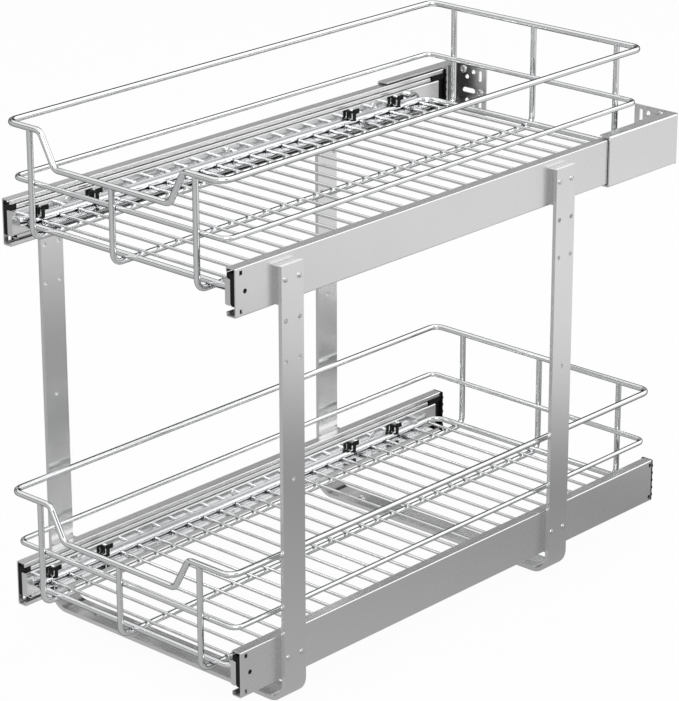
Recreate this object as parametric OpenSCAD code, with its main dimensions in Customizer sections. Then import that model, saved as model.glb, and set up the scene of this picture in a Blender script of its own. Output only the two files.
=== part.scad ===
// Two-tier pull-out wire basket for a base cabinet.
// Millimetres. X runs across the cabinet, Y from its front to its back, Z up.
// The origin is on the cabinet floor, at the centre of the four screws that fix
// the feet. Both baskets are shown pushed in.

/* [Slides] */
// Length of the ball-bearing slides
slide_len = 606; // [580:1:620]
// Distance across the outer faces of a pair of slides
slides_across = 297.6; // [297:0.2:300]
// Height of the lower slides' centre line above the cabinet floor
lower_slide_z = 45.4; // [44:0.2:60]
// Rise from the lower pair of slides to the upper pair
tier_rise = 363; // [340:1:380]
// How far a basket pulls out
travel = 600; // [560:1:600]

/* [Legs] */
// Width of the leg straps
leg_w = 28; // [24:0.5:30]
// Thickness of the leg straps
leg_t = 4; // [3:0.25:4.5]
// Depth of the front legs' centre line behind the slides' front ends
front_leg_y = 62.8; // [55:0.1:70]
// Distance from the front legs to the rear legs
leg_pitch = 379.6; // [370:0.1:390]
// Distance between the two screws that hold a slide to a leg
screw_pair = 17.7; // [16:0.1:18]
// Vertical step of the height adjustment holes
hole_step = 38.1; // [36:0.1:40]

/* [Baskets] */
// Distance across the centres of the upper basket's rim wires
upper_rim_w = 271.2; // [268:0.2:276]
// Distance across the centres of the lower basket's rim wires
lower_rim_w = 288; // [276:0.2:289]
// Depth of the upper basket between the centres of its posts
upper_depth = 585.7; // [580:0.1:586]
// Depth of the lower basket between the centres of its posts
lower_depth = 610.3; // [604:0.1:612]
// Height of the rim above the slides' centre line
rim_z = 98.3; // [90:0.1:110]
// How far the front of the rim dips in the middle
dip = 32.8; // [20:0.1:34]
// Diameter of the rim wire and of the wire round the floor
rim_d = 6; // [6:0.1:6.4]
// Diameter of the wires bent into posts and runners
post_d = 5.8; // [5:0.1:5.8]
// Diameter of the middle rail
middle_d = 5; // [4.5:0.1:5.5]
// Diameter of the floor wires
floor_d = 3; // [2.6:0.1:3.2]
// Distance between neighbouring floor wires
floor_pitch = 22.9; // [22:0.1:23]

/* [Rear brackets] */
// Length of the sleeve that wraps the rear end of an upper slide
sleeve_len = 111; // [100:1:120]
// Thickness of the bracket's sheet
bracket_t = 1.6; // [1.4:0.1:1.6]
// How far the bracket's rear flange reaches in from its side
flange_w = 54; // [50:0.5:56]

/* [Hidden] */
$fn = 32;
eps = 0.01;
lap = 0.05;
lap_step = 0.02;

// Sides and tiers
LEFT = -1;
RIGHT = 1;
LOWER = 0;
UPPER = 1;
function slide_z(tier) = lower_slide_z + tier * tier_rise;

// Slide sections. u is measured inwards from the outer face of the slide.
slide_h = 45;
slide_u = 12.7;
web_x = slides_across / 2;
sheet = 1.2;
outer_u = 11.2;
outer_corner_r = 1.3;
window_z = 17.6;
window_h = 4;
window_l = 3.6;
web_hole_y = 11.7;
mid_u0 = 2.2;
mid_u = 10.6;
mid_h = 33.8;
inner_u0 = 6;
inner_h = 24.4;
mid_front = 8;
mid_rear = slide_len - 20.5;
inner_rear = slide_len - 10;
stop_front = 0.3;
rear_cap_t = 1.6;
cage_front = 170;
cage_rear = slide_len - 176;
cage_t = 0.4;
outer_ball_r = 1.8;
outer_ball_u = 6;
inner_ball_r = 1.4;
inner_ball_u = 7.4;
balls_per_row = 6;
outer_ball_z = (slide_h / 2 - sheet + mid_h / 2) / 2;
inner_ball_z = (mid_h / 2 - sheet + inner_h / 2) / 2;

// Legs
leg_y = [front_leg_y, front_leg_y + leg_pitch];
spacer_t = 4;
leg_in_x = web_x + spacer_t;
leg_out_x = leg_in_x + leg_t;
leg_bend_r = 20;
leg_top = slide_z(UPPER) + 14;
screw_rise = 1;
leg_hole_d = 4.6;
single_hole_z = slide_z(UPPER) - 188.3;
floor_screw_x = 105.5;

// Baskets. Heights are above the centre line of the tier's slides.
post_x = 105;
runner_z = -6.2;
floor_z = runner_z + (post_d + floor_d) / 2;
loop_z = runner_z + (post_d + rim_d) / 2;
middle_z = 45;
loop_x = 131.3;
loop_inset = 13.2;
post_bend_r = 10;
rim_corner_r = 11;
middle_corner_r = 9;
loop_corner_r = 14;
dip_top_x = 91.2;
dip_bottom_x = 73;
dip_bend_r = 8;
first_floor_wire = 32.8;
function rim_x(tier) = (tier == UPPER ? upper_rim_w : lower_rim_w) / 2;
function middle_x(tier) = rim_x(tier) - 0.6;
function front_y(tier) = tier == UPPER ? -2.3 : -6.3;
function back_y(tier) = front_y(tier) + (tier == UPPER ? upper_depth : lower_depth);
function floor_count(tier) = tier == UPPER ? 24 : 25;

// Support rails, with the basket's side wire resting in clips on their flanges
rail_t = 1.8;
rail_x = web_x - slide_u;
rail_len = 570;
rail_top = 12;
rail_flange_top = loop_z - rim_d / 2;
rail_flange_x = 115;
clip_y = [33.5, 101.5, 458.5, 526.3];
rivet_y = [67.5, 280, 492.5];
rivet_z = 8;

// Rear brackets
bracket_gap = 0.6;
bracket_h = 51.4;
bracket_lip_w = 12.6;
bracket_rear = slide_len + 22;
bracket_front = bracket_rear - sleeve_len;
bracket_out_x = web_x + bracket_gap + bracket_t;
bracket_bend_r = 3.5;
flange_edge_x = bracket_out_x - flange_w;

// ---------------------------------------------------------------- helpers

// Everything below is drawn with Y = 0 at the front ends of the slides.
// This moves it back to the origin at the centre of the floor screws.
module placed() {
    translate([0, -(front_leg_y + leg_pitch / 2), 0]) children();
}

// Mirrors its children to the left side of the cabinet
module on_side(side) {
    if (side == RIGHT) children();
    else mirror([1, 0, 0]) children();
}

// Extrudes an X-Z outline from y0 back to y1
module along_y(y0, y1) {
    translate([0, y1, 0]) rotate([90, 0, 0]) linear_extrude(y1 - y0) children();
}

// Extrudes a Y-Z outline from x0 out to x1
module along_x(x0, x1) {
    translate([x0, 0, 0]) rotate([90, 0, 90]) linear_extrude(x1 - x0) children();
}

// Rectangle with round corners, from true arcs
module round_rect(x0, x1, y0, y1, r) {
    translate([x0 + r, y0]) square([x1 - x0 - 2 * r, y1 - y0]);
    translate([x0, y0 + r]) square([x1 - x0, y1 - y0 - 2 * r]);
    for (x = [x0 + r, x1 - r]) for (y = [y0 + r, y1 - r]) translate([x, y]) circle(r);
}

function unit(v) = v / norm(v);
function path_point(path, i) = path[(i + len(path)) % len(path)];
function path_dir(path, i) = unit(path_point(path, i + 1) - path_point(path, i));
function turn_at(path, i) = acos(path_dir(path, i - 1) * path_dir(path, i));
function trim_at(path, radii, i) = radii[(i + len(path)) % len(path)] * tan(turn_at(path, i) / 2);

// Places its children in the frame with axes ex, ey, ez at point c
module in_frame(ex, ey, ez, c) {
    multmatrix([
        [ex.x, ey.x, ez.x, c.x],
        [ex.y, ey.y, ez.y, c.y],
        [ex.z, ey.z, ez.z, c.z]
    ]) children();
}

// Straight rod between two points
module rod(a, b, d) {
    ez = unit(b - a);
    ex = unit(cross(abs(ez.z) > 0.9 ? [1, 0, 0] : [0, 0, 1], ez));
    in_frame(ex, cross(ez, ex), ez, a) cylinder(d = d, h = norm(b - a));
}

// One round bend of a wire at corner p, a hair thinner than the rods that lap it
module wire_bend(p, dir_in, dir_out, bend_r, d) {
    turn = acos(dir_in * dir_out);
    axis = unit(cross(dir_in, dir_out));
    start = p - dir_in * bend_r * tan(turn / 2);
    centre = start + cross(axis, dir_in) * bend_r;
    in_frame(unit(start - centre), dir_in, axis, centre)
        rotate_extrude(angle = turn) translate([bend_r, 0]) circle(d = d - lap_step);
}

// Bent wire along a path, closed into a ring or with two free ends
module bent_wire(path, radii, d, closed) {
    n = len(path);
    for (i = closed ? [0 : n - 1] : [1 : n - 2])
        wire_bend(path[i], path_dir(path, i - 1), path_dir(path, i), radii[i], d);
    for (i = [0 : closed ? n - 1 : n - 2]) {
        dir = path_dir(path, i);
        from_trim = !closed && i == 0 ? 0 : trim_at(path, radii, i) - lap;
        to_trim = !closed && i == n - 2 ? 0 : trim_at(path, radii, i + 1) - lap;
        rod(path[i] + dir * from_trim, path_point(path, i + 1) - dir * to_trim, d);
    }
}

// Screw pointing along -Z with the underside of its pan head at the origin, and
// a thinner plain neck above its thread
module pan_screw(head_r, head_h, thread_d, shank_len, neck_len) {
    rotate_extrude() {
        square([head_r, head_h * 0.45]);
        intersection() {
            translate([0, head_h - head_r * 1.6]) circle(head_r * 1.6, $fn = 64);
            square([head_r, head_h]);
        }
    }
    translate([0, 0, -neck_len - eps]) cylinder(d = thread_d * 0.8, h = neck_len + 2 * eps);
    translate([0, 0, -shank_len]) cylinder(d = thread_d, h = shank_len - neck_len);
    translate([0, 0, -shank_len - thread_d / 2])
        cylinder(d1 = thread_d * 0.4, d2 = thread_d, h = thread_d / 2);
}

// ------------------------------------------------------------------ slides

// Section of a lipped channel, open on its inner side
module channel_section(u0, u1, h, lip, corner_r) {
    difference() {
        round_rect(u0, u1, -h / 2, h / 2, corner_r);
        round_rect(u0 + sheet, u1 - sheet, -h / 2 + sheet, h / 2 - sheet, 0.6);
        translate([u1 - sheet - 1, -h / 2 + lip]) square([sheet + 2, h - 2 * lip]);
    }
}

// Places a u-z section on the right-hand slide of a tier
module on_slide(tier, y0, y1) {
    translate([web_x, 0, slide_z(tier)]) mirror([1, 0, 0]) along_y(y0, y1) children();
}

// Holes for the leg screws through anything between the slide's web and the leg
module leg_screw_holes(tier, d) {
    for (y = leg_y) for (s = [-1, 1])
        translate([web_x - slide_u, y + s * screw_pair / 2, slide_z(tier) + screw_rise])
            rotate([0, 90, 0]) cylinder(d = d, h = slide_u + spacer_t + leg_t + 1);
}

// Outer member: it is screwed to the legs and carries the others. Small tabs are
// lanced out of its web in front, where they stop the balls of its cage.
module outer_member(side, tier) {
    tab_reach = 3.5;
    color("#c9cac9") on_side(side) {
        difference() {
            on_slide(tier, 0, slide_len) channel_section(0, outer_u, slide_h, 4.3, outer_corner_r);
            leg_screw_holes(tier, 4.2);
            for (y = [5, slide_len - 4.6]) for (s = [-1, 1])
                translate([web_x - sheet - 1, y, slide_z(tier) + s * window_z - window_h / 2])
                    cube([sheet + 2, window_l, window_h]);
            translate([web_x - sheet - 1, web_hole_y, slide_z(tier)]) rotate([0, 90, 0])
                cylinder(d = 4.6, h = 4);
            translate([web_x - sheet - 1, front_leg_y + leg_w / 2 + 0.2, slide_z(tier) - 4.3])
                cube([sheet + 2, 1.6, 15.6]);
        }
        for (s = [-1, 1]) on_slide(tier, 5 + window_l - eps, 5 + window_l + 0.9)
            translate([sheet - eps, s * (window_z + 0.8) - 1.1]) square([tab_reach - sheet, 2.2]);
    }
}

// Plastic stop clipped into the rear end of an outer member, with a ribbed cap
// over the end and a block above the inner member
module rear_stop(side, tier) {
    cap_rear = slide_len + rear_cap_t;
    rib_r = 2;
    on_side(side) {
        on_slide(tier, slide_len - 9, slide_len + eps)
            round_rect(sheet, outer_u - sheet, -slide_h / 2 + sheet, slide_h / 2 - sheet, 0.6);
        on_slide(tier, slide_len, cap_rear) round_rect(-0.2, 13.2, -slide_h / 2, slide_h / 2, 1.2);
        on_slide(tier, mid_rear + 1.5, slide_len + eps)
            translate([inner_u0, inner_h / 2 + 0.7]) square([6, 5.3]);
        translate([0, 0, slide_z(tier)]) along_x(web_x - 13.2, web_x + 0.2)
            for (z = [-16 : 8 : 16]) intersection() {
                translate([cap_rear - rib_r / 2, z]) circle(rib_r);
                translate([cap_rear - eps, z - rib_r]) square([rib_r, 2 * rib_r]);
            }
    }
}

// Ball cage: a bent strip that spaces the balls above and below a member
module ball_cage(side, tier, u0, u1, ball_u, ball_z, ball_r) {
    ball_pitch = (cage_rear - cage_front - 20) / (balls_per_row - 1);
    color("#8f8f8c") on_side(side) {
        on_slide(tier, cage_front, cage_rear) {
            translate([u0, -ball_z - cage_t / 2]) square([cage_t, 2 * ball_z + cage_t]);
            for (z = [-ball_z, ball_z]) translate([u0, z - cage_t / 2]) square([u1 - u0, cage_t]);
        }
        for (z = [-ball_z, ball_z]) for (i = [0 : balls_per_row - 1])
            translate([web_x - ball_u, cage_front + 10 + i * ball_pitch, slide_z(tier) + z])
                sphere(ball_r, $fn = 20);
    }
}

module outer_cage(side, tier) {
    u1 = outer_u - sheet - 0.4;
    ball_cage(side, tier, sheet + 0.3, u1, outer_ball_u, outer_ball_z, outer_ball_r);
}

module inner_cage(side, tier) {
    u1 = mid_u - sheet - 0.5;
    ball_cage(side, tier, mid_u0 + sheet + 0.4, u1, inner_ball_u, inner_ball_z, inner_ball_r);
}

// Intermediate member: it runs half as far as the basket
module mid_member(side, tier) {
    color("#bfc0bf") on_side(side) difference() {
        on_slide(tier, mid_front, mid_rear) channel_section(mid_u0, mid_u, mid_h, 4, 1.8);
        for (hole = [[web_hole_y, 7], [60, 6], [300, 6], [556, 6]])
            translate([web_x - mid_u0 - sheet - 1, hole[0], slide_z(tier)]) rotate([0, 90, 0])
                cylinder(d = hole[1], h = sheet + 2);
    }
}

// Plastic bumper in the front end of an intermediate member: a block before the
// member's web, a tongue inside its channel and a bar over the inner member
module mid_stop(side, tier) {
    u0 = sheet + 0.3;
    u1 = inner_u0 - 0.3;
    tongue_u = mid_u0 + sheet;
    color("#161616") on_side(side) {
        on_slide(tier, stop_front, mid_front) {
            translate([u0, -12.5]) square([u1 - u0, 28]);
            translate([u0, inner_h / 2 + 0.4]) square([mid_u - u0, 4.9]);
        }
        on_slide(tier, mid_front - eps, 15) translate([tongue_u, -10]) square([u1 - tongue_u, 20]);
    }
}

// Inner member, with its front end folded over into a plate
module inner_member(side, tier) {
    color("#d2d3d2") on_side(side) difference() {
        union() {
            on_slide(tier, 0, inner_rear) difference() {
                round_rect(inner_u0, slide_u, -inner_h / 2, inner_h / 2, 1.6);
                round_rect(inner_u0 - 4, slide_u - sheet, -inner_h / 2 + sheet, inner_h / 2 - sheet, 0.6);
            }
            on_slide(tier, 0, sheet) round_rect(inner_u0 + 0.3, slide_u, -12, 12, 1.5);
        }
        rivet_holes(tier);
    }
}

module rivet_holes(tier) {
    for (y = rivet_y) translate([rail_x - rail_t - 1, y, slide_z(tier) + rivet_z])
        rotate([0, 90, 0]) cylinder(d = 4.1, h = 6);
}

// ------------------------------------------------------- legs and fasteners

// One strap, bent into two legs and the foot that joins them under the baskets
module leg_strap(leg) {
    flat = leg_out_x - leg_bend_r;
    y = leg_y[leg];
    color("#a7a7a6") difference() {
        union() {
            translate([-flat, y - leg_w / 2, 0]) cube([2 * flat, leg_w, leg_t]);
            for (side = [LEFT, RIGHT]) on_side(side) {
                translate([flat, y - leg_w / 2, leg_bend_r]) rotate([-90, 0, 0])
                    rotate_extrude(angle = 90) translate([leg_bend_r - leg_t, 0]) square([leg_t, leg_w]);
                translate([leg_in_x, y - leg_w / 2, leg_bend_r]) cube([leg_t, leg_w, leg_top - leg_bend_r]);
            }
        }
        for (side = [LEFT, RIGHT]) on_side(side) {
            for (z = [slide_z(UPPER) + screw_rise, slide_z(LOWER) + screw_rise])
                leg_hole_pair(y, z, 4.2);
            for (step = [1, 2]) leg_hole_pair(y, slide_z(UPPER) + screw_rise - step * hole_step, leg_hole_d);
            translate([leg_in_x - 1, y, single_hole_z]) rotate([0, 90, 0])
                cylinder(d = leg_hole_d, h = leg_t + 2);
            translate([floor_screw_x, y, -1]) cylinder(d = 4.6, h = leg_t + 2);
        }
    }
}

module leg_hole_pair(y, z, d) {
    for (s = [-1, 1]) translate([leg_in_x - 1, y + s * screw_pair / 2, z])
        rotate([0, 90, 0]) cylinder(d = d, h = leg_t + 2);
}

// Block between a slide's web and a leg
module spacers(tier) {
    low = tier == UPPER ? -21.8 : -20.6;
    high = tier == UPPER ? 13.5 : 22.4;
    color("#b9b9b8") for (side = [LEFT, RIGHT]) on_side(side) difference() {
        for (y = leg_y) translate([web_x, y - leg_w / 2, slide_z(tier) + low])
            cube([spacer_t, leg_w, high - low]);
        leg_screw_holes(tier, 4.2);
    }
}

// Screws through a leg and its spacer into the slide
module leg_screws(tier) {
    color("#9a9a98") for (side = [LEFT, RIGHT]) on_side(side) for (y = leg_y) for (s = [-1, 1])
        translate([leg_out_x, y + s * screw_pair / 2, slide_z(tier) + screw_rise]) rotate([0, 90, 0])
            pan_screw(2.8, 1.1, 4, leg_t + spacer_t - 1, 0);
}

// Screws that fix the foot of each strap to the cabinet floor
module floor_screws() {
    color("#8c8c8a") for (x = [-floor_screw_x, floor_screw_x]) for (y = leg_y)
        translate([x, y, leg_t]) pan_screw(4, 2.4, 4.2, leg_t + 6, leg_t);
}

// ----------------------------------------------------------- support rails

// Side view of a rail: cut away below at its front end, swept down at its rear
module rail_outline() {
    bottom = rail_flange_top - rail_t;
    sweep_r = 26;
    scallop_r = 8;
    scallop_z = 7.3;
    corner_r = 5;
    difference() {
        union() {
            translate([0, bottom]) square([rail_len - sweep_r, rail_top - bottom]);
            intersection() {
                translate([rail_len - sweep_r, rail_top - sweep_r]) circle(sweep_r, $fn = 96);
                translate([rail_len - sweep_r, bottom]) square([sweep_r, rail_top - bottom]);
            }
        }
        translate([0, scallop_z - scallop_r]) circle(scallop_r, $fn = 48);
        translate([-1, bottom - 1]) square([scallop_r + 1, scallop_z - scallop_r - bottom + 1]);
        difference() {
            translate([scallop_r - eps, bottom - 1]) square([corner_r + eps, corner_r + 1]);
            translate([scallop_r + corner_r, bottom + corner_r]) circle(corner_r);
        }
    }
}

// Angle rail on the inner member: web upright, flange turned in under the basket
module support_rail(side, tier) {
    bottom = rail_flange_top - rail_t;
    color("#d6d7d7") on_side(side) difference() {
        intersection() {
            translate([0, 0, slide_z(tier)]) along_y(-1, rail_len + 1) difference() {
                round_rect(rail_flange_x - 10, rail_x, bottom, rail_top + 10, 2.5);
                round_rect(rail_flange_x - 20, rail_x - rail_t, rail_flange_top, rail_top + 20, 1);
                translate([rail_flange_x - 20, bottom - 1]) square([20, rail_top]);
            }
            translate([0, 0, slide_z(tier)]) along_x(rail_flange_x - 1, rail_x + 1) rail_outline();
        }
        rivet_holes(tier);
    }
}

// Flat-headed rivets that hold the rails to the inner members
module rivets(tier) {
    grip = rail_t + sheet;
    color("#bdbebd") for (side = [LEFT, RIGHT]) on_side(side) for (y = rivet_y)
        translate([rail_x - rail_t, y, slide_z(tier) + rivet_z]) rotate([0, 90, 0]) {
            translate([0, 0, -0.1]) cylinder(d = 4, h = grip + 0.1);
            translate([0, 0, -0.9]) cylinder(d1 = 5, d2 = 6.4, h = 0.9);
        }
}

// Side view of a clip's plate: a stem beside the side wire with a flag at its top
module clip_outline() {
    translate([-4.6, 0.4]) square([3.4, 12]);
    translate([-4.6, 7.9]) square([8.2, 4.5]);
}

// Plastic clips that hook the basket's side wire down to the rails. A bar over the
// wire joins each plate to a finger that presses on the wire beside the rail's web.
module clips(tier) {
    plate_t = 1.6;
    finger_w = 2.6;
    plate_x = loop_x - rim_d / 2 - 0.1;
    web_in = rail_x - rail_t;
    wire_top = loop_z + rim_d / 2 + 0.1;
    color("#141414") for (side = [LEFT, RIGHT]) on_side(side) for (y = clip_y)
        translate([0, y, slide_z(tier)]) {
            along_x(plate_x - plate_t, plate_x) clip_outline();
            translate([plate_x - eps, -4.6, 8.6]) cube([web_in - plate_x + eps, finger_w, 1.4]);
            translate([web_in - 2.2, -4.6, wire_top]) cube([2.2, finger_w, 9 - wire_top]);
        }
}

// ------------------------------------------------------------ wire baskets

// Rim: a closed ring of wire whose front dips between two slanting bends
module rim(tier) {
    x = rim_x(tier);
    z = slide_z(tier) + rim_z;
    y0 = front_y(tier);
    y1 = back_y(tier);
    path = [
        [-x, y0, z], [-dip_top_x, y0, z], [-dip_bottom_x, y0, z - dip],
        [dip_bottom_x, y0, z - dip], [dip_top_x, y0, z], [x, y0, z],
        [x, y1, z], [-x, y1, z]
    ];
    c = rim_corner_r;
    b = dip_bend_r;
    color("#d9dadb") bent_wire(path, [c, b, b, b, b, c, c, c], rim_d, true);
}

// A level ring of wire with equal corners
module ring(x, y0, y1, z, corner_r, d) {
    path = [[-x, y0, z], [x, y0, z], [x, y1, z], [-x, y1, z]];
    bent_wire(path, [for (p = path) corner_r], d, true);
}

// Middle rail, inside the posts
module middle_rail(tier) {
    inset = (post_d + middle_d) / 2;
    color("#d4d5d6") ring(middle_x(tier), front_y(tier) + inset, back_y(tier) - inset,
        slide_z(tier) + middle_z, middle_corner_r, middle_d);
}

// Thick wire round the floor
module floor_loop(tier) {
    color("#d4d5d6") ring(loop_x, front_y(tier) + loop_inset, back_y(tier) - loop_inset,
        slide_z(tier) + loop_z, loop_corner_r, rim_d);
}

// One wire bent into a front post, a runner under the floor and a back post
module u_wire(tier, x) {
    zs = slide_z(tier);
    y0 = front_y(tier);
    y1 = back_y(tier);
    front_rim = zs + rim_z - (abs(x) < dip_bottom_x ? dip : 0);
    back_rim = zs + rim_z;
    path = [[x, y0, front_rim], [x, y0, zs + runner_z], [x, y1, zs + runner_z], [x, y1, back_rim]];
    color("#d9dadb") difference() {
        bent_wire(path, [0, post_bend_r, post_bend_r, 0], post_d, false);
        rod([x - 8, y0, front_rim], [x + 8, y0, front_rim], rim_d);
        rod([x - 8, y1, back_rim], [x + 8, y1, back_rim], rim_d);
    }
}

// The row of floor wires of one tier as plain rods, reaching half_len each way
module floor_wire_rods(tier, d, half_len) {
    for (i = [0 : floor_count(tier) - 1]) {
        y = front_y(tier) + first_floor_wire + i * floor_pitch;
        rod([-half_len, y, floor_z], [half_len, y, floor_z], d);
    }
}

// Floor wires, lying on the runners and shaped to the side wires they end on
module floor_wires(tier) {
    color("#cfd0d1") translate([0, 0, slide_z(tier)]) difference() {
        floor_wire_rods(tier, floor_d, loop_x - rim_d / 2 + 1);
        for (x = [-loop_x, loop_x]) rod([x, 0, loop_z], [x, slide_len, loop_z], rim_d);
    }
}

// ------------------------------------------------------------ rear brackets

// Section of the sleeve: a channel that wraps the slide. u runs inwards.
module sleeve_section() {
    t = bracket_t;
    difference() {
        round_rect(0, bracket_lip_w + 6, -bracket_h / 2, bracket_h / 2, 2.2);
        round_rect(t, bracket_lip_w + 10, -bracket_h / 2 + t, bracket_h / 2 - t, 0.6);
        translate([bracket_lip_w, -bracket_h]) square([10, 2 * bracket_h]);
    }
}

// Sleeve round the rear of an upper slide. Its web bends into a drilled flange,
// and its lips run on to meet the flange.
module bracket(side) {
    z = slide_z(UPPER);
    r = bracket_bend_r;
    t = bracket_t;
    color("#c4c5c4") on_side(side) difference() {
        union() {
            translate([bracket_out_x, 0, z]) mirror([1, 0, 0]) {
                along_y(bracket_front, bracket_rear - r) sleeve_section();
                along_y(bracket_rear - r - eps, bracket_rear - t + eps) intersection() {
                    sleeve_section();
                    translate([r, -bracket_h]) square([bracket_lip_w, 2 * bracket_h]);
                }
            }
            translate([bracket_out_x - r, bracket_rear - r, z - bracket_h / 2])
                rotate_extrude(angle = 90) translate([r - t, 0]) square([t, bracket_h]);
            translate([flange_edge_x, bracket_rear - t, z - bracket_h / 2])
                cube([flange_w - r, t, bracket_h]);
        }
        bracket_holes(z);
    }
}

// Slots, round holes and screw holes of the rear flange
module bracket_holes(z) {
    slot_d = 4;
    for (s = [-1, 1]) {
        flange_slot([105.1, z + s * 12], [105.1, z + s * 19.8], slot_d);
        flange_slot([114.3, z + s * 19], [114.3, z + s * 19], 4.8);
        flange_slot([122.8, z + s * 12.7], [122.8, z + s * 12.7], 4.8);
    }
    flange_slot([114.6, z - 1.8], [126, z - 1.8], 5.4);
    for (p = bracket_screw_at()) flange_slot([p.x, z + p.y], [p.x, z + p.y], 4.4);
}

function bracket_screw_at() = [[128, 20], [105.1, -2.3]];

// Cutter for one slot, or a round hole where both ends are the same
module flange_slot(from, to, d) {
    for (p = [from, to]) translate([p.x, bracket_rear - bracket_t - 2, p.y])
        rotate([-90, 0, 0]) cylinder(d = d, h = bracket_t + 4);
    span = to - from;
    if (norm(span) > 0) translate([from.x, bracket_rear + 2, from.y]) rotate([90, 0, 0])
        linear_extrude(bracket_t + 4) rotate(atan2(span.y, span.x)) translate([0, -d / 2])
            square([norm(span), d]);
}

// Screws from the flange into the back of the cabinet
module bracket_screws(side) {
    color("#9a9a98") on_side(side) for (p = bracket_screw_at())
        translate([p.x, bracket_rear - bracket_t, slide_z(UPPER) + p.y]) rotate([90, 0, 0])
            pan_screw(4, 2.2, 4, bracket_t + 6, 0);
}

// ------------------------------------------------------------------- nodes

placed() leg_strap(0);  // leg_strap_front
placed() leg_strap(1);  // leg_strap_rear
placed() spacers(UPPER);  // spacers_upper
placed() spacers(LOWER);  // spacers_lower
placed() leg_screws(UPPER);  // leg_screws_upper
placed() leg_screws(LOWER);  // leg_screws_lower
placed() floor_screws();
placed() outer_member(LEFT, UPPER);  // outer_upper_l
placed() outer_member(RIGHT, UPPER);  // outer_upper_r
placed() outer_member(LEFT, LOWER);  // outer_lower_l
placed() outer_member(RIGHT, LOWER);  // outer_lower_r
placed() color("#161616") {  // rear_stops
    for (side = [LEFT, RIGHT]) for (tier = [LOWER, UPPER]) rear_stop(side, tier);
}
placed() outer_cage(LEFT, UPPER);  // outer_cage_upper_l
placed() outer_cage(RIGHT, UPPER);  // outer_cage_upper_r
placed() outer_cage(LEFT, LOWER);  // outer_cage_lower_l
placed() outer_cage(RIGHT, LOWER);  // outer_cage_lower_r
placed() mid_member(LEFT, UPPER);  // mid_upper_l
placed() mid_member(RIGHT, UPPER);  // mid_upper_r
placed() mid_member(LEFT, LOWER);  // mid_lower_l
placed() mid_member(RIGHT, LOWER);  // mid_lower_r
placed() mid_stop(LEFT, UPPER);  // mid_stop_upper_l
placed() mid_stop(RIGHT, UPPER);  // mid_stop_upper_r
placed() mid_stop(LEFT, LOWER);  // mid_stop_lower_l
placed() mid_stop(RIGHT, LOWER);  // mid_stop_lower_r
placed() inner_cage(LEFT, UPPER);  // inner_cage_upper_l
placed() inner_cage(RIGHT, UPPER);  // inner_cage_upper_r
placed() inner_cage(LEFT, LOWER);  // inner_cage_lower_l
placed() inner_cage(RIGHT, LOWER);  // inner_cage_lower_r
placed() inner_member(LEFT, UPPER);  // inner_upper_l
placed() inner_member(RIGHT, UPPER);  // inner_upper_r
placed() inner_member(LEFT, LOWER);  // inner_lower_l
placed() inner_member(RIGHT, LOWER);  // inner_lower_r
placed() support_rail(LEFT, UPPER);  // rail_upper_l
placed() support_rail(RIGHT, UPPER);  // rail_upper_r
placed() support_rail(LEFT, LOWER);  // rail_lower_l
placed() support_rail(RIGHT, LOWER);  // rail_lower_r
placed() rivets(UPPER);  // rivets_upper
placed() rivets(LOWER);  // rivets_lower
placed() clips(UPPER);  // clips_upper
placed() clips(LOWER);  // clips_lower
placed() rim(UPPER);  // rim_upper
placed() rim(LOWER);  // rim_lower
placed() middle_rail(UPPER);  // middle_rail_upper
placed() middle_rail(LOWER);  // middle_rail_lower
placed() floor_loop(UPPER);  // floor_loop_upper
placed() floor_loop(LOWER);  // floor_loop_lower
placed() floor_wires(UPPER);  // floor_wires_upper
placed() floor_wires(LOWER);  // floor_wires_lower
placed() u_wire(UPPER, -post_x);  // u_wire_left_upper
placed() u_wire(UPPER, 0);  // u_wire_middle_upper
placed() u_wire(UPPER, post_x);  // u_wire_right_upper
placed() u_wire(LOWER, -post_x);  // u_wire_left_lower
placed() u_wire(LOWER, 0);  // u_wire_middle_lower
placed() u_wire(LOWER, post_x);  // u_wire_right_lower
placed() bracket(LEFT);  // bracket_l
placed() bracket(RIGHT);  // bracket_r
placed() bracket_screws(LEFT);  // bracket_screws_l
placed() bracket_screws(RIGHT);  // bracket_screws_r
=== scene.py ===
import math
import random

import bpy
from mathutils import Euler, Matrix, Vector


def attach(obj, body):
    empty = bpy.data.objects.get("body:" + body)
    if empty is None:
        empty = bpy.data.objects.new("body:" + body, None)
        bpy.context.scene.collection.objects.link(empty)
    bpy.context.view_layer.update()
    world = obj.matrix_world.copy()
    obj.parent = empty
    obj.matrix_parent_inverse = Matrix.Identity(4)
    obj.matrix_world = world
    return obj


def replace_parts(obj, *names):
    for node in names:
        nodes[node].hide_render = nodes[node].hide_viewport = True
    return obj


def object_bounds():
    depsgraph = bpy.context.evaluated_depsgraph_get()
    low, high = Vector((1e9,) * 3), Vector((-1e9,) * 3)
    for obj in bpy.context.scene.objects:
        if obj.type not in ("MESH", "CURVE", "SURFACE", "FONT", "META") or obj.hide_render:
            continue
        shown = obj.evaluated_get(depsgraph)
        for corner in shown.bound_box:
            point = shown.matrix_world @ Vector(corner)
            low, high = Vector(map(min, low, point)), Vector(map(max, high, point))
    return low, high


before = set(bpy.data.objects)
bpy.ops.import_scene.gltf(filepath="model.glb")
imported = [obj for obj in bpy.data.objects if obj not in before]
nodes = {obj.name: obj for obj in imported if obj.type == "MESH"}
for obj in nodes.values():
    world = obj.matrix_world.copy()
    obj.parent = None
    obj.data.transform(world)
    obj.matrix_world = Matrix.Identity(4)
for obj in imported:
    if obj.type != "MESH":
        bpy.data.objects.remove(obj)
cad_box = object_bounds()


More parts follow.
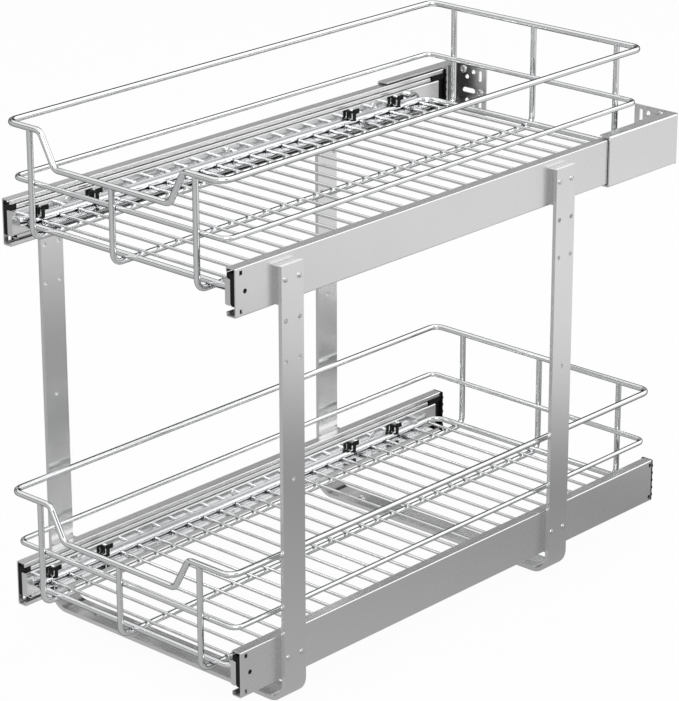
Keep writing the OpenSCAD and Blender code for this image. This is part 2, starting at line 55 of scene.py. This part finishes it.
# ---------------------------------------------------------------------------
# Leg straps and spacers. Each strap is one length of flat steel bar, bent into
# two legs and the foot between them, with rows of punched holes. The bar is
# rolled, so a fine grain runs along it, and it is nickel plated to a satin.
class Socket:
    """A value in a material: the usual operators add the Math nodes for it."""

    def __init__(self, material, out):
        self.material = material
        self.out = out

    def math(self, operation, *others):
        return self.material.node("ShaderNodeMath", [self, *others], operation=operation)

    def __add__(self, other):
        return self.math("ADD", other)

    def __sub__(self, other):
        return self.math("SUBTRACT", other)

    def __rsub__(self, other):
        return self.material.node("ShaderNodeMath", [other, self], operation="SUBTRACT")

    def __mul__(self, other):
        return self.math("MULTIPLY", other)

    def __truediv__(self, other):
        return self.math("DIVIDE", other)

    __radd__ = __add__
    __rmul__ = __mul__


class Finish:
    """A procedural material with one Principled shader, or the world's shader."""

    def __init__(self, name, world=None):
        self.data = world or bpy.data.materials.new(name)
        self.data.use_nodes = True
        self.tree = self.data.node_tree
        self.shader = self.tree.nodes["Background" if world else "Principled BSDF"]

    def fill(self, socket, value):
        if isinstance(value, Socket):
            self.tree.links.new(value.out, socket)
        elif isinstance(value, bpy.types.NodeSocket):
            self.tree.links.new(value, socket)
        else:
            socket.default_value = value

    def node(self, kind, inputs=(), output=0, stops=None, **settings):
        made = self.tree.nodes.new(kind)
        for key, value in settings.items():
            setattr(made, key, value)
        if stops:
            ramp = made.color_ramp
            while len(ramp.elements) < len(stops):
                ramp.elements.new(0.5)
            for element, (place, value) in zip(ramp.elements, stops):
                element.position = place
                element.color = (value, value, value, 1.0)
        pairs = inputs.items() if isinstance(inputs, dict) else enumerate(inputs)
        for key, value in pairs:
            self.fill(made.inputs[key], value)
        return Socket(self, made.outputs[output])

    def place(self, scale=(1.0, 1.0, 1.0)):
        """Position on the object in metres, stretched along each axis."""
        coordinates = self.node("ShaderNodeTexCoord", output="Object")
        return self.node("ShaderNodeMapping", {"Vector": coordinates, "Scale": scale})

    def along(self, axis):
        """Position on the object along one axis, in metres."""
        coordinates = self.node("ShaderNodeTexCoord", output="Object")
        return self.node("ShaderNodeSeparateXYZ", [coordinates], output=axis)

    def noise(self, where, scale, detail=3.0, roughness=0.5):
        return self.node("ShaderNodeTexNoise", {"Vector": where, "Scale": scale, "Detail": detail,
                                                "Roughness": roughness})

    def slope(self, value, start, end, low=0.0, high=1.0, curve="LINEAR"):
        """Goes from low to high as the value goes from start to end, and stays there."""
        return self.node("ShaderNodeMapRange", {"Value": value, "From Min": start, "From Max": end,
                                                "To Min": low, "To Max": high},
                         interpolation_type=curve)

    def between(self, amount, low, high):
        """Colour from low to high as amount goes from 0 to 1."""
        low, high = (end if isinstance(end, Socket) else (*end, 1.0) for end in (low, high))
        return self.node("ShaderNodeMix", {"Factor": amount, "A": low, "B": high},
                         output=2, data_type="RGBA")

    def bump(self, height, depth, strength=1.0):
        return self.node("ShaderNodeBump", {"Strength": strength, "Distance": depth, "Height": height})

    def set(self, **values):
        for key, value in values.items():
            self.fill(self.shader.inputs[key.replace("_", " ")], value)


def plated_bar(name, light, dark, grain_axis, rough, relief=0.35, painted_shade=None):
    """Satin plating over rolled bar: a grain along one axis, slow clouds and fine wear."""
    finish = Finish(name)
    stretch = tuple(0.02 if axis == grain_axis else 1.0 for axis in "xyz")
    grain = finish.noise(finish.place(stretch), scale=2600.0, detail=2.0)
    cloud = finish.noise(finish.place(), scale=14.0)
    wear = finish.noise(finish.place(), scale=220.0, detail=4.0, roughness=0.65)
    colour = finish.between(cloud * 0.7 + wear * 0.3, dark, light)
    # An optional hook that paints shade into the colour, as in the dark ball races.
    if painted_shade:
        colour = painted_shade(finish, colour)
    finish.set(Base_Color=colour, Metallic=1.0,
               Roughness=rough - 0.05 + grain * 0.06 + wear * 0.05,
               Normal=finish.bump(grain * 0.7 + wear * 0.3, depth=0.00003, strength=relief))
    return finish.data


def dress(material, *names):
    for name in names:
        for slot in nodes[name].material_slots:
            slot.material = material


dress(plated_bar("satin_nickel_bar", light=(0.86, 0.86, 0.86), dark=(0.80, 0.80, 0.80),
                 grain_axis="z", rough=0.20, relief=0.2),
      "leg_strap_front", "leg_strap_rear")
dress(plated_bar("spacer_steel", light=(0.70, 0.70, 0.70), dark=(0.60, 0.60, 0.60),
                 grain_axis="z", rough=0.40),
      "spacers_upper", "spacers_lower")


# ---------------------------------------------------------------------------
# Screws and rivets. Small pressed steel pieces with a dull nickel plating. The
# screws of the feet and brackets have pan heads with a cross recess and a
# rolled wood thread; those that hold the slides to the legs are plain.
def plated_fastener(name, light, dark, rough):
    """Dull plating with the fine mottle of tumbled parts."""
    finish = Finish(name)
    mottle = finish.noise(finish.place(), scale=900.0)
    finish.set(Base_Color=finish.between(mottle, dark, light), Metallic=1.0,
               Roughness=rough + mottle * 0.08,
               Normal=finish.bump(mottle, depth=0.00002, strength=0.3))
    return finish.data


MM = 0.001
SLIDE_FRONT_Y = -0.2526
SLIDE_Z = {"upper": 0.4084, "lower": 0.0454}

HEAD_R = 4.0 * MM
HEAD_EDGE = 0.2 * MM
DOME_R = HEAD_R * 1.6
RECESS_DEPTH = 1.2 * MM
RECESS_HALF_WIDTH = 0.7 * MM
RECESS_REACH = 2.5 * MM
RECESS_SIDE_WALL = 0.3 * MM
RECESS_END_WALL = 0.7 * MM
THREAD_PITCH = 1.5 * MM
TIP_R = 0.05 * MM


def turned_grid(verts, faces, rings, sides, place):
    """Adds a closed surface of rings, each a function of the angle giving radius and height."""
    start = len(verts)
    for ring in rings:
        for step in range(sides):
            angle = math.tau * step / sides
            radius, height = ring(angle)
            verts.append(place @ Vector((radius * math.cos(angle), radius * math.sin(angle), height)))
    for row in range(len(rings) - 1):
        for step in range(sides):
            after = (step + 1) % sides
            low = start + row * sides
            faces.append((low + step, low + after, low + sides + after, low + sides + step))
    faces.append(tuple(start + step for step in reversed(range(sides))))
    faces.append(tuple(start + (len(rings) - 1) * sides + step for step in range(sides)))


def cross_depth(radius, angle):
    """1 in the arms of a cross recess, falling to 0 over its tapered walls."""
    across, along = sorted(abs(radius * turn(angle)) for turn in (math.cos, math.sin))
    walls = ((RECESS_HALF_WIDTH - across) / RECESS_SIDE_WALL, (RECESS_REACH - along) / RECESS_END_WALL)
    return max(0.0, min(1.0, *walls))


def wood_screw(verts, faces, place, head_h, shank_d, shank_len, neck_len):
    """A pan head with its underside at the origin, and a pointed thread running down -Z."""
    to_point = shank_len + shank_d / 2

    def head_ring(radius):
        def ring(angle):
            dome = head_h - DOME_R + math.sqrt(DOME_R ** 2 - radius ** 2)
            return radius, dome - RECESS_DEPTH * cross_depth(radius, angle)
        return ring

    def shank_ring(depth):
        def ring(angle):
            if depth < neck_len:
                return shank_d * 0.4, -depth
            turns = (depth / THREAD_PITCH + angle / math.tau) % 1.0
            crest = max(0.0, 1.0 - abs(turns - 0.5) * 4.0)
            taper = (to_point - depth) * 0.9 + TIP_R
            return min(shank_d * (0.36 + 0.14 * crest), taper), -depth
        return ring

    head_steps = 18
    radii = [HEAD_R * step / head_steps for step in range(head_steps, 0, -1)] + [0.02 * MM]
    underside = [lambda angle: (HEAD_R - HEAD_EDGE, 0.0), lambda angle: (HEAD_R, HEAD_EDGE)]
    turned_grid(verts, faces, underside + [head_ring(radius) for radius in radii], 64, place)
    shank_steps = 64
    depths = [to_point * (1.0 - step / shank_steps) for step in range(shank_steps + 1)]
    turned_grid(verts, faces, [shank_ring(depth) for depth in depths], 24, place)


def made_piece(name, verts, faces, body, material, crease=35.0):
    """A mesh piece with its edges sharp from the crease angle, riding on a body."""
    mesh = bpy.data.meshes.new(name)
    mesh.from_pydata(verts, [], faces)
    mesh.shade_smooth()
    mesh.set_sharp_from_angle(angle=math.radians(crease))
    mesh.materials.append(material)
    piece = bpy.data.objects.new(name, mesh)
    bpy.context.collection.objects.link(piece)
    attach(piece, body)
    return piece


def facing(place, axis, spin):
    """Frame at place whose +Z runs along axis, turned by spin about it."""
    turn = Vector(axis).to_track_quat("Z", "X").to_matrix().to_4x4()
    return Matrix.Translation(place) @ turn @ Matrix.Rotation(spin, 4, "Z")


FOOT_SCREW_X = 105.5
FOOT_SCREW_Y = 189.8
FOOT_TOP = 4.0
FLANGE_FACE = 626.4
FLANGE_SCREWS_XZ = ((128.0, 20.0), (105.1, -2.3))

screw_nickel = plated_fastener("screw_nickel", light=(0.80, 0.80, 0.79), dark=(0.66, 0.66, 0.65),
                               rough=0.22)
dress(screw_nickel, "leg_screws_upper", "leg_screws_lower")
spins = random.Random(5)
verts, faces = [], []
for x in (-FOOT_SCREW_X, FOOT_SCREW_X):
    for y in (-FOOT_SCREW_Y, FOOT_SCREW_Y):
        head = facing((x * MM, y * MM, FOOT_TOP * MM), (0.0, 0.0, 1.0), spins.uniform(0.0, math.pi))
        wood_screw(verts, faces, head, head_h=2.4 * MM, shank_d=4.2 * MM, shank_len=10.0 * MM,
                   neck_len=4.0 * MM)
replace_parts(made_piece("foot_screws", verts, faces, "stand", screw_nickel),
            "floor_screws")
for side, outwards in (("l", -1), ("r", 1)):
    verts, faces = [], []
    for x, z in FLANGE_SCREWS_XZ:
        seat = (outwards * x * MM, SLIDE_FRONT_Y + FLANGE_FACE * MM, SLIDE_Z["upper"] + z * MM)
        head = facing(seat, (0.0, -1.0, 0.0), spins.uniform(0.0, math.pi))
        wood_screw(verts, faces, head, head_h=2.2 * MM, shank_d=4.0 * MM, shank_len=7.6 * MM,
                   neck_len=0.0)
    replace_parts(made_piece(f"flange_screws_{side}", verts, faces, f"rear_bracket_{side}",
                           screw_nickel),
                f"bracket_screws_{side}")
dress(plated_fastener("rivet_nickel", light=(0.76, 0.76, 0.76), dark=(0.64, 0.64, 0.64), rough=0.28),
      "rivets_upper", "rivets_lower")


# ---------------------------------------------------------------------------
# Slides. Every member is cold-rolled from strip and bright zinc plated, with
# faint lines along its length, and shade painted near black into the ball races
# behind its lips. The cages are a thinner, greyer strip with a trace of oil.
UP_DOWN = ("upper", "lower")
LEFT_RIGHT = ("l", "r")
SLIDE_SIDE_X = 148.8 * MM
# Painted shade for the ball races: its near-black colour, and how softly its edges fade.
PAINTED_SHADE_COLOUR = (0.02, 0.02, 0.02)
PAINTED_SHADE_FADE = 0.2 * MM
RACES_FROM = 11.8 * MM


def race_painted_shade(centre_z, shallow, deep, top):
    """Paints shade into one member's races, between two depths and from RACES_FROM out to its top."""
    def within(finish, value, low, high):
        return (finish.slope(value, low, low + PAINTED_SHADE_FADE)
                * finish.slope(value, high, high - PAINTED_SHADE_FADE))

    def shade_races(finish, colour):
        depth = SLIDE_SIDE_X - finish.along("X").math("ABSOLUTE")
        from_middle = (finish.along("Z") - centre_z).math("ABSOLUTE")
        # Painted shade: near black in the races behind the lips, where shade falls between the
        # members.
        mask = within(finish, depth, shallow, deep) * within(finish, from_middle, RACES_FROM, top)
        return finish.between(mask, colour, PAINTED_SHADE_COLOUR)
    return shade_races


zinc = {"light": (0.86, 0.865, 0.86), "dark": (0.80, 0.805, 0.80), "grain_axis": "y", "rough": 0.28}
inner_zinc = plated_bar("bright_zinc_strip_inner", **zinc)
cage_steel = plated_bar("oiled_cage_strip", light=(0.52, 0.52, 0.51), dark=(0.38, 0.38, 0.37),
                        grain_axis="y", rough=0.38)
for tier in UP_DOWN:
    outer_zinc = plated_bar(f"bright_zinc_strip_outer_{tier}", **zinc, painted_shade=race_painted_shade(
        SLIDE_Z[tier], shallow=1.3 * MM, deep=10.0 * MM, top=21.2 * MM))
    mid_zinc = plated_bar(f"bright_zinc_strip_mid_{tier}", **zinc, painted_shade=race_painted_shade(
        SLIDE_Z[tier], shallow=3.2 * MM, deep=10.0 * MM, top=16.2 * MM))
    for side in LEFT_RIGHT:
        dress(outer_zinc, f"outer_{tier}_{side}")
        dress(mid_zinc, f"mid_{tier}_{side}")
        dress(inner_zinc, f"inner_{tier}_{side}")
        dress(cage_steel, f"outer_cage_{tier}_{side}", f"inner_cage_{tier}_{side}")


# ---------------------------------------------------------------------------
# Black plastic: the stops in the slides' ends and the clips that hook the
# baskets' side wires to the rails. Injection moulded, with a fine spark finish.
def moulded_black(name):
    finish = Finish(name)
    pebble = finish.noise(finish.place(), scale=1800.0, detail=2.0)
    cloud = finish.noise(finish.place(), scale=60.0, detail=2.0)
    finish.set(Base_Color=finish.between(cloud, (0.004, 0.004, 0.004), (0.008, 0.008, 0.008)),
               Specular_IOR_Level=0.2, Roughness=0.42 + pebble * 0.12,
               Normal=finish.bump(pebble, depth=0.00003, strength=0.4))
    return finish.data


black_plastic = moulded_black("black_moulding")
dress(black_plastic, "rear_stops", "clips_upper", "clips_lower")
for tier in UP_DOWN:
    for side in LEFT_RIGHT:
        dress(black_plastic, f"mid_stop_{tier}_{side}")


# ---------------------------------------------------------------------------
# Support rails. Angle strips on the inner members, chrome plated like the wires
# but over brushed strip, so they show a soft shine.
rail_chrome = plated_bar("satin_chrome_angle", light=(0.76, 0.765, 0.77), dark=(0.70, 0.705, 0.71),
                         grain_axis="y", rough=0.11, relief=0.08)
for tier in UP_DOWN:
    for side in LEFT_RIGHT:
        dress(rail_chrome, f"rail_{tier}_{side}")


# ---------------------------------------------------------------------------
# Wires. Drawn steel wire, bent and spot welded, then chrome plated all over as
# one basket. The plating is bright, a little cloudy where it is thick.
def bright_chrome(name):
    finish = Finish(name)
    cloud = finish.noise(finish.place(), scale=90.0)
    pits = finish.noise(finish.place(), scale=1600.0)
    finish.set(Base_Color=finish.between(cloud, (0.82, 0.83, 0.84), (0.88, 0.885, 0.89)),
               Metallic=1.0, Specular_Tint=(0.0, 0.0, 0.0, 1.0), Roughness=0.06 + cloud * 0.05,
               Normal=finish.bump(pits, depth=0.00001, strength=0.1))
    return finish.data


chrome = bright_chrome("bright_chrome_wire")
for tier in UP_DOWN:
    dress(chrome, f"rim_{tier}", f"middle_rail_{tier}", f"floor_loop_{tier}", f"floor_wires_{tier}",
          f"u_wire_left_{tier}", f"u_wire_middle_{tier}", f"u_wire_right_{tier}")


# ---------------------------------------------------------------------------
# Spot welds. Where two wires cross, the current melts a small ragged bead round
# the place where they touch; the beads are coloured near black as painted shade.
def weld_shade_finish(name):
    finish = Finish(name)
    shade_mottle = finish.noise(finish.place(), scale=1100.0)
    # Painted shade: the beads are near black for the shade where the wires cross.
    finish.set(Base_Color=finish.between(shade_mottle, (0.05, 0.05, 0.05), (0.2, 0.2, 0.2)),
               Metallic=1.0, Roughness=0.28 + shade_mottle * 0.2,
               Normal=finish.bump(shade_mottle, depth=0.0001, strength=0.5))
    return finish.data


def bead(verts, faces, centre, reach, wobble):
    """A flattened lump of melted wire, reaching a different way along each axis, in mm."""
    start = len(verts)
    rows, sides = 5, 10
    for row in range(1, rows):
        polar = math.pi * row / rows
        for step in range(sides):
            around = math.tau * step / sides
            size = wobble.uniform(0.86, 1.0)
            verts.append(Vector((centre[0] + reach[0] * size * math.sin(polar) * math.cos(around),
                                 centre[1] + reach[1] * size * math.sin(polar) * math.sin(around),
                                 centre[2] + reach[2] * size * math.cos(polar))) * MM)
    for row in range(rows - 2):
        for step in range(sides):
            after = (step + 1) % sides
            low = start + row * sides
            faces.append((low + step, low + sides + step, low + sides + after, low + after))
    faces.append(tuple(start + step for step in range(sides)))
    faces.append(tuple(start + (rows - 2) * sides + step for step in reversed(range(sides))))


POSTS_X = (-105.0, 0.0, 105.0)
LOOP_SIDES_X = (-128.1, 128.1)
FIRST_WIRE = 32.8
WIRE_PITCH = 22.9
LOOP_END = 13.2
MIDDLE_RAIL_END = 2.9
WELD_Z_RUNNER = -3.3
WELD_Z_LOOP = -1.7
WELD_Z_MIDDLE_RAIL = 45.0

shaded_weld_metal = weld_shade_finish("spot_weld")
wobble = random.Random(11)
shift = SLIDE_FRONT_Y / MM
for tier, front, depth, count in (("upper", -2.3, 585.7, 24), ("lower", -6.3, 610.3, 25)):
    middle_z = SLIDE_Z[tier] / MM
    verts, faces = [], []
    for number in range(count):
        y = shift + front + FIRST_WIRE + WIRE_PITCH * number
        for x in POSTS_X:
            bead(verts, faces, (x, y, middle_z + WELD_Z_RUNNER), (2.0, 1.6, 0.8), wobble)
        for x in LOOP_SIDES_X:
            bead(verts, faces, (x, y, middle_z + WELD_Z_LOOP), (0.8, 2.1, 1.7), wobble)
    for x in POSTS_X:
        for y in (front + LOOP_END, front + depth - LOOP_END):
            bead(verts, faces, (x, shift + y, middle_z + WELD_Z_RUNNER), (2.4, 2.6, 0.9), wobble)
        for y in (front + MIDDLE_RAIL_END, front + depth - MIDDLE_RAIL_END):
            bead(verts, faces, (x, shift + y, middle_z + WELD_Z_MIDDLE_RAIL), (2.4, 0.8, 2.1), wobble)
    made_piece(f"spot_welds_{tier}", verts, faces, f"basket_{tier}", shaded_weld_metal,
               crease=60.0)


# ---------------------------------------------------------------------------
# Rear brackets. Folded from zinc-plated sheet into a sleeve over the slide, with
# a drilled flange turned in against the cabinet's back.
dress(plated_bar("bracket_zinc_sheet", light=(0.88, 0.885, 0.88), dark=(0.82, 0.825, 0.82),
                 grain_axis="y", rough=0.28),
      "bracket_l", "bracket_r")


# ---------------------------------------------------------------------------
# Surroundings. A pale floor that reads as plain white from the camera and keeps
# a faint shadow. Plated metal sees the same floor with painted shade, grey and
# darker in bands round the unit as grey cards would make it, under a white ceiling.
scene = bpy.context.scene
scene.view_settings.view_transform = "Standard"

WHITE = (1.0, 1.0, 1.0, 1.0)
FLOOR_Z = cad_box[0][2] - 0.0005
SHADOW_SHARE = 0.04
bpy.ops.mesh.primitive_plane_add(size=24.0, location=(0.0, 0.0, FLOOR_Z))
floor = bpy.context.object
floor.name = "studio_floor"
floor_paint = Finish("pale_floor")
floor_paint.set(Base_Color=(0.82, 0.82, 0.82, 1.0), Roughness=0.9)
east = floor_paint.along("X")
north = floor_paint.along("Y")
# Right of the unit the floor brightens towards the back, past a darker band.
BAND_FROM = -0.7
BAND_TO = 1.9
band_place = (east * 0.5 + north * 0.86 - BAND_FROM) / (BAND_TO - BAND_FROM)
right_tone = floor_paint.node("ShaderNodeValToRGB", [band_place], stops=[
    ((at - BAND_FROM) / (BAND_TO - BAND_FROM), tone) for at, tone in (
        (-0.7, 0.56), (-0.2, 0.46), (0.05, 0.435), (0.23, 0.39), (0.44, 0.315), (0.55, 0.35),
        (0.65, 0.47), (0.78, 0.66), (0.92, 0.76), (1.1, 0.8), (1.45, 0.84), (1.7, 0.74))])
# Left of it the floor is grey in front and beneath it, and darker behind.
left_tone = floor_paint.slope(north, -0.3, 0.4, low=0.47, high=0.2, curve="SMOOTHSTEP")
beneath = floor_paint.slope(east, -0.45, -0.3) * floor_paint.slope(north, 0.5, 0.38)
left_tone = left_tone + beneath * (0.5 - left_tone)
to_right = floor_paint.slope(east, 0.0, 0.15, curve="SMOOTHSTEP")
# Painted shade: the tone plated metal sees in the floor, grey round the unit and darker in bands.
reflected_floor_shade = left_tone + to_right * (right_tone - left_tone)
seen = floor_paint.node("ShaderNodeLightPath", output="Is Camera Ray")
mirrored = floor_paint.node("ShaderNodeLightPath", output="Is Glossy Ray")
white = floor_paint.node("ShaderNodeEmission", {"Color": WHITE, "Strength": 1.0})
shaded = floor_paint.node("ShaderNodeEmission", {"Color": WHITE, "Strength": reflected_floor_shade})
lit = floor_paint.node("ShaderNodeMixShader", [seen * (1.0 - SHADOW_SHARE),
                                               floor_paint.shader.outputs[0], white])
floor_paint.fill(floor_paint.tree.nodes["Material Output"].inputs["Surface"],
                 floor_paint.node("ShaderNodeMixShader", [mirrored, lit, shaded]))
floor.data.materials.append(floor_paint.data)

scene.world = bpy.data.worlds.new("studio")
ceiling = Finish("studio", scene.world)
ray_kind = {name: ceiling.node("ShaderNodeLightPath", output=f"Is {name} Ray")
            for name in ("Camera", "Glossy", "Transmission")}
heading = ceiling.node("ShaderNodeTexCoord", output="Generated")
rise = ceiling.node("ShaderNodeSeparateXYZ", [heading], output="Z")
flat = ceiling.node("ShaderNodeVectorMath", [heading, (1.0, 1.0, 0.0)], operation="MULTIPLY")
level = ceiling.node("ShaderNodeVectorMath", [flat], operation="NORMALIZE")


def towards(azimuth, reach, soft):
    """1 near one compass direction, falling to 0 between reach and reach + soft degrees from it."""
    aim = (math.cos(math.radians(azimuth)), math.sin(math.radians(azimuth)), 0.0)
    closeness = ceiling.node("ShaderNodeVectorMath", [level, aim], output="Value",
                             operation="DOT_PRODUCT")
    return ceiling.slope(closeness, math.cos(math.radians(reach + soft)),
                         math.cos(math.radians(reach)), curve="SMOOTHSTEP")


def sky(*stops):
    """Tone against the sine of the height above the horizon."""
    brightest = max(tone for _, tone in stops)
    return brightest * ceiling.node("ShaderNodeValToRGB", [rise],
                                    stops=[(at, tone / brightest) for at, tone in stops])


glossy_tone = sky((0.0, 0.35), (0.22, 1.4), (1.0, 1.4))
for part_of_sky, tone in (
        (towards(azimuth=328.0, reach=45.0, soft=12.0),
         sky((0.0, 0.3), (0.22, 1.2), (0.4, 1.2), (0.45, 0.15), (0.72, 0.15), (0.77, 1.2))),
        (towards(azimuth=122.0, reach=18.0, soft=3.0),
         sky((0.0, 0.05), (0.2, 0.1), (0.24, 0.58), (0.41, 0.58), (0.45, 0.02), (0.76, 0.02),
             (0.81, 1.5))),
        (towards(azimuth=215.0, reach=60.0, soft=15.0),
         sky((0.0, 0.72), (0.22, 0.72), (0.3, 0.16), (0.48, 0.16), (0.58, 1.0), (1.0, 1.0)))):
    glossy_tone = glossy_tone + part_of_sky * (tone - glossy_tone)
AMBIENT = 0.55
plain = ray_kind["Camera"].math("MAXIMUM", ray_kind["Transmission"]) * (1.0 - AMBIENT) + AMBIENT
ceiling.set(Color=WHITE, Strength=plain + ray_kind["Glossy"] * (glossy_tone - plain))


def soft_lamp(name, place, size, power, in_reflections):
    """A rectangular lamp that faces the middle of the unit."""
    lamp = bpy.data.lights.new(name, "AREA")
    lamp.shape = "RECTANGLE"
    lamp.size, lamp.size_y = size
    lamp.energy = power
    holder = bpy.data.objects.new(name, lamp)
    holder.location = place
    to_middle = Vector((0.0, 0.0, 0.25)) - Vector(place)
    holder.rotation_euler = to_middle.to_track_quat("-Z", "Y").to_euler()
    holder.visible_glossy = in_reflections
    scene.collection.objects.link(holder)


soft_lamp("key", (1.4, -1.2, 1.9), size=(1.2, 1.2), power=22.0, in_reflections=True)
soft_lamp("fill", (-1.8, -1.0, 1.2), size=(1.2, 1.6), power=10.0, in_reflections=False)
soft_lamp("back", (-0.4, 1.9, 1.6), size=(1.8, 0.8), power=14.0, in_reflections=False)


# ---------------------------------------------------------------------------
# Camera. It stands where the photograph was taken from, to the right of the
# front, and looks down at the unit.
lens = bpy.data.cameras.new("camera")
lens.sensor_fit = "HORIZONTAL"
lens.sensor_width = 36.0
lens.lens = 164.62
lens.shift_x = -0.0051
lens.shift_y = -0.0160
lens.clip_end = 30.0
camera = bpy.data.objects.new("camera", lens)
camera.location = (1.90587, -2.03612, 1.29795)
camera.rotation_euler = Euler([math.radians(angle) for angle in (69.58998, 0.07691, 42.43985)], "XYZ")
scene.collection.objects.link(camera)
scene.camera = camera
